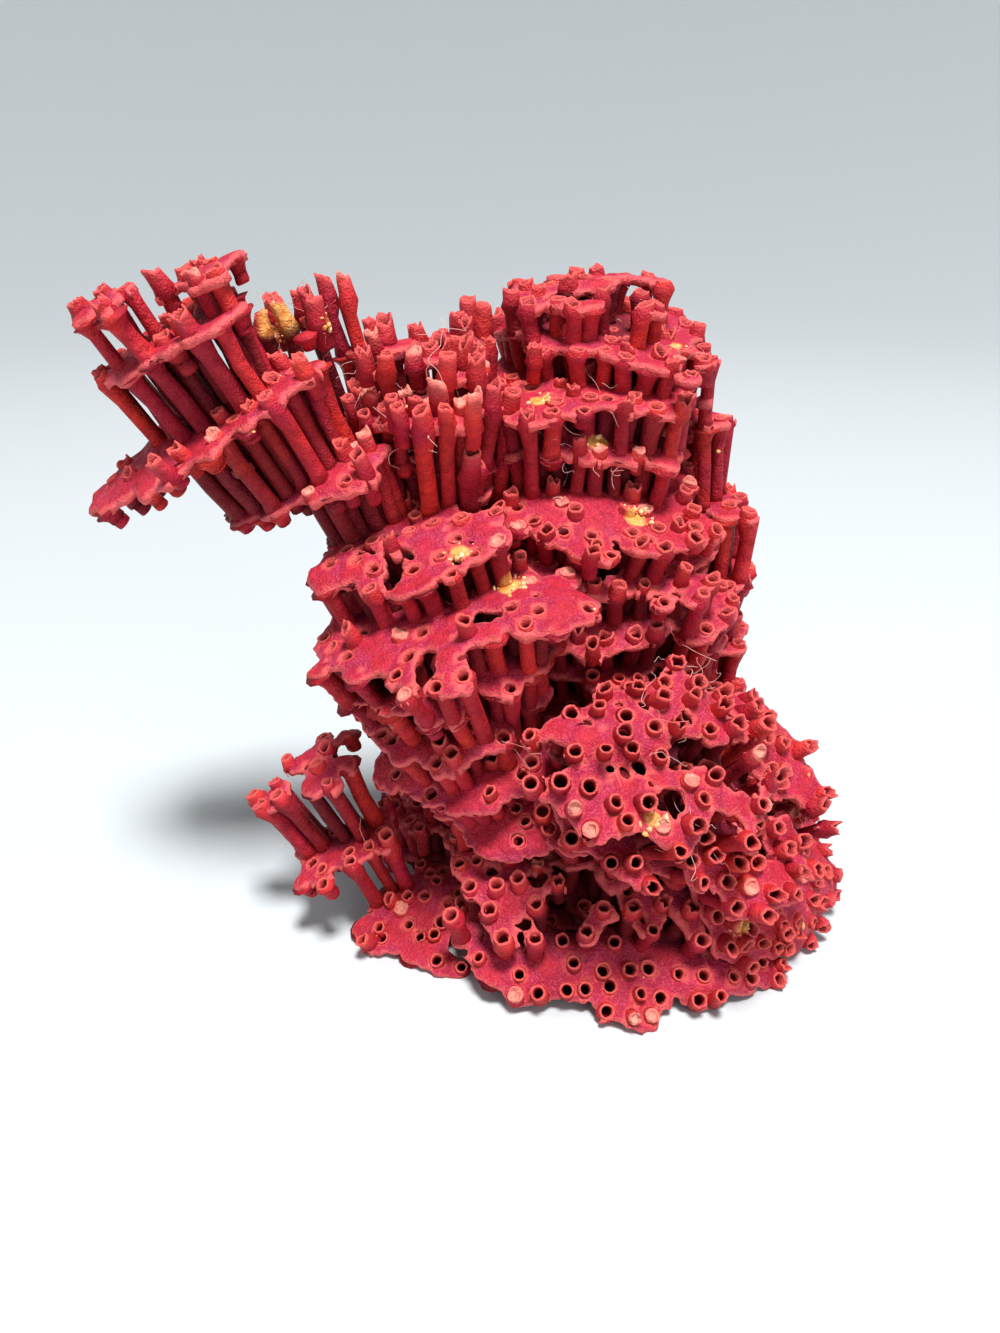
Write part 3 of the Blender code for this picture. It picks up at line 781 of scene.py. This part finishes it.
def grow(lobe, earlier, rng):
    """A lobe's platforms and pipes. A pipe runs up through the platforms that hold it, and
    ends on the last, as an open mouth or closed over. It gives way to the lobes before it."""
    p, q = pipe_seeds(lobe["spacing"], rng)
    n = len(p)
    platforms = sorted(lobe["platforms"])
    levels = np.array([platform[0] + lift(lobe, platform[0], p, q) for platform in platforms])
    depth = np.array([within(platform, p, q) for platform in platforms])
    here = np.zeros(depth.shape, bool)
    for k, level in enumerate(levels):
        place = on_lobe(lobe, p, q, level)[0]
        here[k] = (depth[k] > LEAST_DEPTH) & ~claimed(place, earlier) & (place[:, 2] > LEAST_HEIGHT)
        here[k] &= rng.uniform(size=n) > lobe["gaps"]
    start = np.zeros(depth.shape)
    standing = np.zeros(depth.shape, bool)
    goes_on = np.zeros(depth.shape, bool)
    broken = np.zeros(depth.shape, bool)
    last = np.full(n, -FAR)
    last_k = np.zeros(n, int)
    row = np.arange(n)
    for k, level in enumerate(levels):
        halfway = on_lobe(lobe, p, q, 0.5 * (level + np.maximum(last, LOWEST)))[0]
        reaches = here[k] & (level - last < STOREY_LIMIT) & ~claimed(halfway, earlier)
        snaps = reaches & (depth[k] < SNAP_BAND) & (rng.uniform(size=n) < SNAP_SHARE)
        broken[last_k[snaps], row[snaps]] = True
        reaches &= ~snaps
        goes_on[last_k[reaches], row[reaches]] = True
        to_foot = (k == 0) & (depth[k] > FOOT_DEPTH)
        drop = np.where(to_foot, level - lobe["foot"], rng.uniform(*FREE_DROP, n))
        start[k] = np.where(reaches, last, level - drop)
        standing[k] = reaches
        last = np.where(here[k], level, last)
        last_k = np.where(here[k], k, last_k)
    parts = []
    for k, platform in enumerate(platforms):
        cover = platforms[k + 1] if k + 1 < len(platforms) else None
        open_ = here[k] & ~goes_on[k] & ((rng.uniform(size=n) > lobe["sealed"]) | broken[k])
        buried = (depth[k] > BURIED) & (depth[max(k - 1, 0)] > BURIED)
        whole = here[k] & ~open_ & ~buried
        # painted shade under this platform, for the pipes that end on it
        painted_shade = shade_under(platform, p, q)
        if here[k].any():
            parts.append(plate(lobe, platform, p[here[k]], q[here[k]], open_[here[k]], cover))
        if whole.any():
            row_p, row_q, low, level = p[whole], q[whole], start[k][whole], levels[k][whole]
            parts.append(spans(lobe, row_p, row_q, low, level, standing[k][whole], painted_shade[whole], rng))
        if open_.any():
            row_p, row_q, low, level = p[open_], q[open_], start[k][open_], levels[k][open_]
            m = open_.sum()
            tall = (rng.uniform(size=m) < lobe["tall"]) | broken[k][open_]
            snapped = rng.uniform(*lobe["snapped"], m)
            rise = np.where(tall, snapped, rng.uniform(*lobe["rise"], m))
            on_plate = standing[k][open_]
            parts.append(mouths(lobe, row_p, row_q, low, level, rise, on_plate, painted_shade[open_], rng))
        if cover is not None:
            height = 0.5 * (platform[0] + cover[0]) + rng.uniform(-1, 1)
            spot = wave_spot(p, q, LEDGE_APART * height)
            grows = wander(spot, LEDGE_WAVE, 1.0)[:, 2] > LEDGE_LEVEL
            ledge = goes_on[k] & grows & (depth[k] < LEDGE_BAND)
            if ledge.any():
                thin = (height, platform[1], platform[2])
                closed = np.zeros(ledge.sum(), bool)
                parts.append(plate(lobe, thin, p[ledge], q[ledge], closed, cover))
    return joined(parts)


def spot_on(name, spot):
    """The place of p, q and height on the lobe of that name."""
    return on_lobe(LOBES[name], *map(np.float64, spot))[0]


def crust_at(points):
    """How near a point is to the middle of a patch of yellow crust, 1 there and 0 outside."""
    crust = np.zeros(len(points))
    for name, spot, size in CRUSTS:
        away = np.linalg.norm(points - spot_on(name, spot), axis=1)
        crust = np.maximum(crust, 1 - away / size)
    return crust


def closed_rings(rings):
    """Faces of tubes from points of (tube, ring, side, xyz), whose first and last rings are
    single points."""
    count, length, sides = rings.shape[:3]
    number = np.arange(count * length * sides).reshape(count, length, sides)
    number[:, 0] = number[:, 0, :1]
    number[:, -1] = number[:, -1, :1]
    here, over = number[:, :-1], number[:, 1:]
    faces = np.stack([here, np.roll(here, -1, 2), np.roll(over, -1, 2), over], -1)
    return rings.reshape(-1, 3), faces.reshape(-1, 4)


def crumbs(places, rng):
    """Grit stuck to the coral: lumps whose radius at each longitude and latitude is a size
    times one plus a few waves of both."""
    n = len(places)
    down = np.linspace(0, np.pi, CRUMB_RINGS)[None, :, None]
    turn = (np.arange(CRUMB_SIDES) * 2 * np.pi / CRUMB_SIDES)[None, None, :]
    swell = 1 + np.zeros((n, 1, 1))
    for m, k in ((1, 2), (2, 1), (3, 3)):
        phase = rng.uniform(0, 6, (2, n, 1, 1))
        swell = swell + CRUMB_BUMP * np.sin(m * turn + phase[0]) * np.sin(k * down + phase[1])
    swell[:, [0, -1]] = swell[:, [0, -1], :1]
    size = rng.uniform(*CRUMB_SIZE, (n, 1, 1, 1)) * rng.uniform(*CRUMB_STRETCH, (n, 1, 1, 3))
    way = [np.sin(down) * np.cos(turn), np.sin(down) * np.sin(turn), 0 * turn - np.cos(down)]
    way = np.stack(way, -1)
    points, faces = closed_rings(places[:, None, None] + size * swell[..., None] * way)
    return points, faces, {"shade": np.repeat(rng.uniform(0, 1, n), CRUMB_RINGS * CRUMB_SIDES)}


def threads(places, rng):
    """Lint: fine tubes along curves that leave a place in some direction and curl by a few
    sine waves of the length along them."""
    n = len(places)
    t = np.linspace(0, 1, THREAD_RINGS)[None, :, None]
    length = rng.uniform(*THREAD_LENGTH, (n, 1, 1))
    path = places[:, None] + length * (t - 0.5) * unit(rng.normal(size=(n, 1, 3)))
    for m in (1, 2, 3, 5):
        curl = unit(rng.normal(size=(n, 1, 3))) * length * THREAD_CURL / m
        along = 2 * np.pi * m * t * THREAD_TURNS
        path = path + curl * np.sin(along + rng.uniform(0, 6, (n, 1, 1)))
    way = unit(np.gradient(path, axis=1))
    side_a = unit(np.cross(way, unit(rng.normal(size=(n, 1, 3)))))
    side_b = np.cross(way, side_a)
    angle = np.arange(THREAD_SIDES) * 2 * np.pi / THREAD_SIDES
    radius = np.full((n, THREAD_RINGS, 1, 1), THREAD_RADIUS)
    radius[:, [0, -1]] = 0
    out = np.cos(angle)[:, None] * side_a[:, :, None] + np.sin(angle)[:, None] * side_b[:, :, None]
    points, faces = closed_rings(path[:, :, None] + radius * out)
    return points, faces, {"shade": np.repeat(rng.uniform(0, 1, n), THREAD_RINGS * THREAD_SIDES)}


def add_mesh(name, points, faces, tones, material):
    """A smooth mesh object, in metres, from faces of four points, two of which may be the
    same. Points under the ground are moved up to it: the colony is cut off flat there."""
    used, faces = np.unique(faces, return_inverse=True)
    faces = faces.reshape(-1, 4)
    points = points[used] * MM
    points[:, 2] = np.maximum(points[:, 2], 0)
    keep = np.ones(faces.shape, bool)
    keep[:, 1] = faces[:, 1] != faces[:, 0]
    keep[:, 3] = faces[:, 3] != faces[:, 2]
    size = keep.sum(1)
    loops = faces[keep]
    mesh = bpy.data.meshes.new(name)
    mesh.vertices.add(len(points))
    mesh.vertices.foreach_set("co", points.astype(np.float32).ravel())
    mesh.loops.add(len(loops))
    mesh.loops.foreach_set("vertex_index", loops.astype(np.int32))
    mesh.polygons.add(len(faces))
    mesh.polygons.foreach_set("loop_start", (np.cumsum(size) - size).astype(np.int32))
    mesh.polygons.foreach_set("use_smooth", np.ones(len(faces), bool))
    for key, values in tones.items():
        layer = mesh.attributes.new(key, "FLOAT", "POINT")
        layer.data.foreach_set("value", values[used].astype(np.float32))
    mesh.update(calc_edges=True)
    obj = bpy.data.objects.new(name, mesh)
    bpy.context.scene.collection.objects.link(obj)
    mesh.materials.append(material)
    return obj


class Nodes:
    """A short way to write a material's nodes."""

    def __init__(self, name):
        self.material = bpy.data.materials.new(name)
        self.material.use_nodes = True
        self.tree = self.material.node_tree
        self.shader = self.tree.nodes["Principled BSDF"]

    def put(self, socket, value):
        """Link a socket to another node's output, or give it a value."""
        if isinstance(value, bpy.types.NodeSocket):
            self.tree.links.new(value, socket)
        else:
            socket.default_value = value

    def attribute(self, name):
        """A number that each point of the mesh carries."""
        node = self.tree.nodes.new("ShaderNodeAttribute")
        node.attribute_name = name
        return node.outputs["Fac"]

    def place(self):
        """The place on the object, in metres."""
        return self.tree.nodes.new("ShaderNodeTexCoord").outputs["Object"]

    def noise(self, scale, detail=2.0, roughness=0.5):
        """Noise of the place, with so many bumps to a metre."""
        node = self.tree.nodes.new("ShaderNodeTexNoise")
        self.put(node.inputs["Vector"], self.place())
        self.put(node.inputs["Scale"], scale)
        self.put(node.inputs["Detail"], detail)
        self.put(node.inputs["Roughness"], roughness)
        return node.outputs["Fac"]

    def ramp(self, value, low, high, to_low=0.0, to_high=1.0):
        """A value moved from one range to another, and held to its ends."""
        node = self.tree.nodes.new("ShaderNodeMapRange")
        for key, given in (("Value", value), ("From Min", low), ("From Max", high)):
            self.put(node.inputs[key], given)
        self.put(node.inputs["To Min"], to_low)
        self.put(node.inputs["To Max"], to_high)
        return node.outputs["Result"]

    def math(self, operation, a, b):
        """Two numbers made one."""
        node = self.tree.nodes.new("ShaderNodeMath")
        node.operation = operation
        self.put(node.inputs[0], a)
        self.put(node.inputs[1], b)
        return node.outputs[0]

    def mix(self, factor, a, b):
        """A blend of two colours."""
        node = self.tree.nodes.new("ShaderNodeMix")
        node.data_type = "RGBA"
        self.put(node.inputs["Factor"], factor)
        self.put(node.inputs["A"], a if isinstance(a, bpy.types.NodeSocket) else (*a, 1.0))
        self.put(node.inputs["B"], b if isinstance(b, bpy.types.NodeSocket) else (*b, 1.0))
        return node.outputs["Result"]

    def bump(self, height, distance, strength, normal=None):
        """The normal, tilted by the slope of a height."""
        node = self.tree.nodes.new("ShaderNodeBump")
        self.put(node.inputs["Height"], height)
        self.put(node.inputs["Distance"], distance)
        self.put(node.inputs["Strength"], strength)
        if normal is not None:
            self.put(node.inputs["Normal"], normal)
        return node.outputs["Normal"]


def coral_material():
    """Crimson limestone. Pipes are orange-red to deep red, platforms are crimson under a
    dusty mauve bloom, broken rims are lighter, bores have painted shade and plugs are pale, and
    all of it has a fine grain with tiny pale specks. Under a platform, painted shade darkens
    the colour."""
    n = Nodes("coral")
    coarse = n.noise(COARSE_NOISE, 3.0)
    fine = n.noise(FINE_NOISE, 3.0, 0.6)
    speck = n.noise(SPECK_NOISE, 1.0)
    pipe = n.mix(n.attribute("tint"), PIPE_DEEP, PIPE_ORANGE)
    pipe = n.mix(n.ramp(coarse, 0.42, 0.68), pipe, PIPE_CRIMSON)
    bloom = n.math("MULTIPLY", n.attribute("dust"), n.ramp(coarse, 0.30, 0.62, 0.35, 0.95))
    colour = n.mix(n.attribute("pipe"), n.mix(bloom, PLATE_CRIMSON, PLATE_MAUVE), pipe)
    colour = n.mix(n.ramp(fine, 0.35, 0.70, 0.0, 0.55), colour, PORE_RED)
    colour = n.mix(n.math("MULTIPLY", n.attribute("rim"), 0.6), colour, RIM_PINK)
    # painted shade down the bores
    colour = n.mix(n.attribute("painted_bore_shade"), colour, BORE_PAINTED_SHADE)
    plug = n.math("MULTIPLY", n.attribute("pale"), n.ramp(fine, 0.35, 0.62, 0.35, 0.95))
    colour = n.mix(plug, colour, PLUG_PALE)
    dusty = n.ramp(n.attribute("dust"), 0.0, 1.0, 0.12, 1.0)
    grains = n.math("MULTIPLY", n.ramp(speck, 0.50, 0.70, 0.0, 0.55), dusty)
    colour = n.mix(grains, colour, SPECK_PINK)
    patch = n.math("ADD", n.attribute("crust"), n.ramp(coarse, 0.2, 0.8, -0.35, 0.35))
    ochre = n.mix(n.ramp(fine, 0.35, 0.65), CRUST_OCHRE, CRUST_CREAM)
    colour = n.mix(n.ramp(patch, 0.45, 0.60, 0.0, 0.9), colour, ochre)
    # painted shade under a platform
    colour = n.mix(n.math("MULTIPLY", n.attribute("painted_shade"), 0.8), colour, PAINTED_SHADE_RED)
    n.put(n.shader.inputs["Base Color"], colour)
    n.put(n.shader.inputs["Roughness"], n.ramp(fine, 0.3, 0.7, 0.48, 0.72))
    normal = n.bump(fine, 0.0006, 0.7, n.bump(coarse, 0.0010, 0.35))
    normal = n.bump(speck, 0.0003, 0.7, normal)
    n.put(n.shader.inputs["Normal"], normal)
    n.shader.inputs["Specular IOR Level"].default_value = 0.22
    n.shader.inputs["Subsurface Weight"].default_value = 0.08
    n.shader.inputs["Subsurface Radius"].default_value = (1.0, 0.25, 0.2)
    n.shader.inputs["Subsurface Scale"].default_value = 0.0012
    return n.material


def grit_material():
    """Ochre to cream grains of dried crust."""
    n = Nodes("grit")
    colour = n.mix(n.attribute("shade"), GRIT_OCHRE, GRIT_CREAM)
    colour = n.mix(n.ramp(n.noise(FINE_NOISE), 0.4, 0.7, 0.0, 0.5), colour, GRIT_BROWN)
    n.put(n.shader.inputs["Base Color"], colour)
    n.put(n.shader.inputs["Normal"], n.bump(n.noise(2 * FINE_NOISE), 0.0003, 0.6))
    n.shader.inputs["Roughness"].default_value = 0.75
    return n.material


def lint_material():
    """Grey-white to reddish fibres."""
    n = Nodes("lint")
    n.put(n.shader.inputs["Base Color"], n.mix(n.attribute("shade"), LINT_GREY, LINT_RED))
    n.shader.inputs["Roughness"].default_value = 0.6
    return n.material


def lamp(name, watts, place, aim):
    """A square light at a place, aimed at another and not seen itself."""
    light = bpy.data.lights.new(name, "AREA")
    light.energy = watts
    light.size = LAMP_SIZE
    obj = bpy.data.objects.new(name, light)
    obj.location = place
    obj.visible_camera = False
    way = Vector(aim) - Vector(place)
    obj.rotation_euler = way.to_track_quat("-Z", "Y").to_euler()
    bpy.context.scene.collection.objects.link(obj)


def studio():
    """A pale floor whose profile is a flat disc, a quarter of a circle and a short wall, soft
    lights, and the photograph's camera."""
    turn = np.linspace(0, np.pi / 2, 13)
    wall = FLOOR_FLAT + WALL_BEND
    out = np.concatenate([[0.0, 0.3, 0.5], FLOOR_FLAT + WALL_BEND * np.sin(turn), [wall]])
    up = np.concatenate([[0.0, 0.0, 0.0], WALL_BEND - WALL_BEND * np.cos(turn), [WALL_TOP]])
    rings, sides = len(out), 64
    angle = np.arange(sides) * 2 * np.pi / sides
    points = [out[:, None] * np.cos(angle), out[:, None] * np.sin(angle), up[:, None] + 0 * angle]
    points = np.stack(points, -1).reshape(-1, 3)
    number = np.arange(rings * sides).reshape(rings, sides)
    number[0] = 0
    here, over = number[:-1], number[1:]
    faces = np.stack([here, over, np.roll(over, -1, 1), np.roll(here, -1, 1)], -1).reshape(-1, 4)
    n = Nodes("studio_floor")
    n.shader.inputs["Base Color"].default_value = (*FLOOR_GREY, 1)
    n.shader.inputs["Roughness"].default_value = 0.7
    add_mesh("studio_floor", points / MM, np.roll(faces, 1, 1), {}, n.material)
    world = bpy.data.worlds.new("studio")
    world.use_nodes = True
    sky = world.node_tree.nodes["Background"]
    sky.inputs["Color"].default_value = (*SKY_WHITE, 1)
    sky.inputs["Strength"].default_value = SKY_STRENGTH
    bpy.context.scene.world = world
    lamp("key", KEY_WATTS, KEY_PLACE, KEY_AIM)
    lamp("fill", FILL_WATTS, FILL_PLACE, FILL_AIM)
    camera = bpy.data.cameras.new("camera")
    camera.sensor_width = SENSOR
    camera.lens = LENS_PIXELS * SENSOR / FRAME_LONG
    camera.clip_start = 0.001
    eye = bpy.data.objects.new("camera", camera)
    eye.location = CAMERA_PLACE * MM
    eye.rotation_euler = (np.radians(90 - CAMERA_DIP), 0, 0)
    bpy.context.scene.collection.objects.link(eye)
    bpy.context.scene.camera = eye
    bpy.context.scene.view_settings.view_transform = "Standard"


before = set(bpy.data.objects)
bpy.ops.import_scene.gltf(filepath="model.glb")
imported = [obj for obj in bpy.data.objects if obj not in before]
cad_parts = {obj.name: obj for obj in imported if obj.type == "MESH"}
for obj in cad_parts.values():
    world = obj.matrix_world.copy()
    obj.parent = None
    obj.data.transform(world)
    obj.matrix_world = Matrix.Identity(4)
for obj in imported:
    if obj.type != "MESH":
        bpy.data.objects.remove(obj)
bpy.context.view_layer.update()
coral = coral_material()
grown = []
surface = []
for number, (name, lobe) in enumerate(LOBES.items()):
    points, faces, tones = grow(lobe, grown, np.random.default_rng(LOBE_SEED + number))
    tones["crust"] = crust_at(points)
    surface.append(points)
    piece = add_mesh(name + "_coral", points, faces, tones, coral)
    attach(piece, "root")
    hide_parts(lobe["node"])
    grown.append(lobe)
surface = np.concatenate(surface)
surface = surface[surface[:, 2] > CRUMB_HEIGHT]
rng = np.random.default_rng(CRUMB_SEED)
near_crust = surface[crust_at(surface) > CRUST_EDGE]
spots = [
    near_crust[rng.integers(0, len(near_crust), CRUMBS_ON_CRUST)],
    surface[rng.integers(0, len(surface), CRUMBS_ELSEWHERE)],
]
grit = add_mesh("grit", *crumbs(np.concatenate(spots), rng), grit_material())
caught = []
for name, spot, size, count in LINT:
    away = np.linalg.norm(surface - spot_on(name, spot), axis=1)
    close = surface[away < size]
    caught.append(close[rng.integers(0, len(close), count)])
lint = add_mesh("lint", *threads(np.concatenate(caught), rng), lint_material())
for piece in (grit, lint):
    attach(piece, "root")
studio()
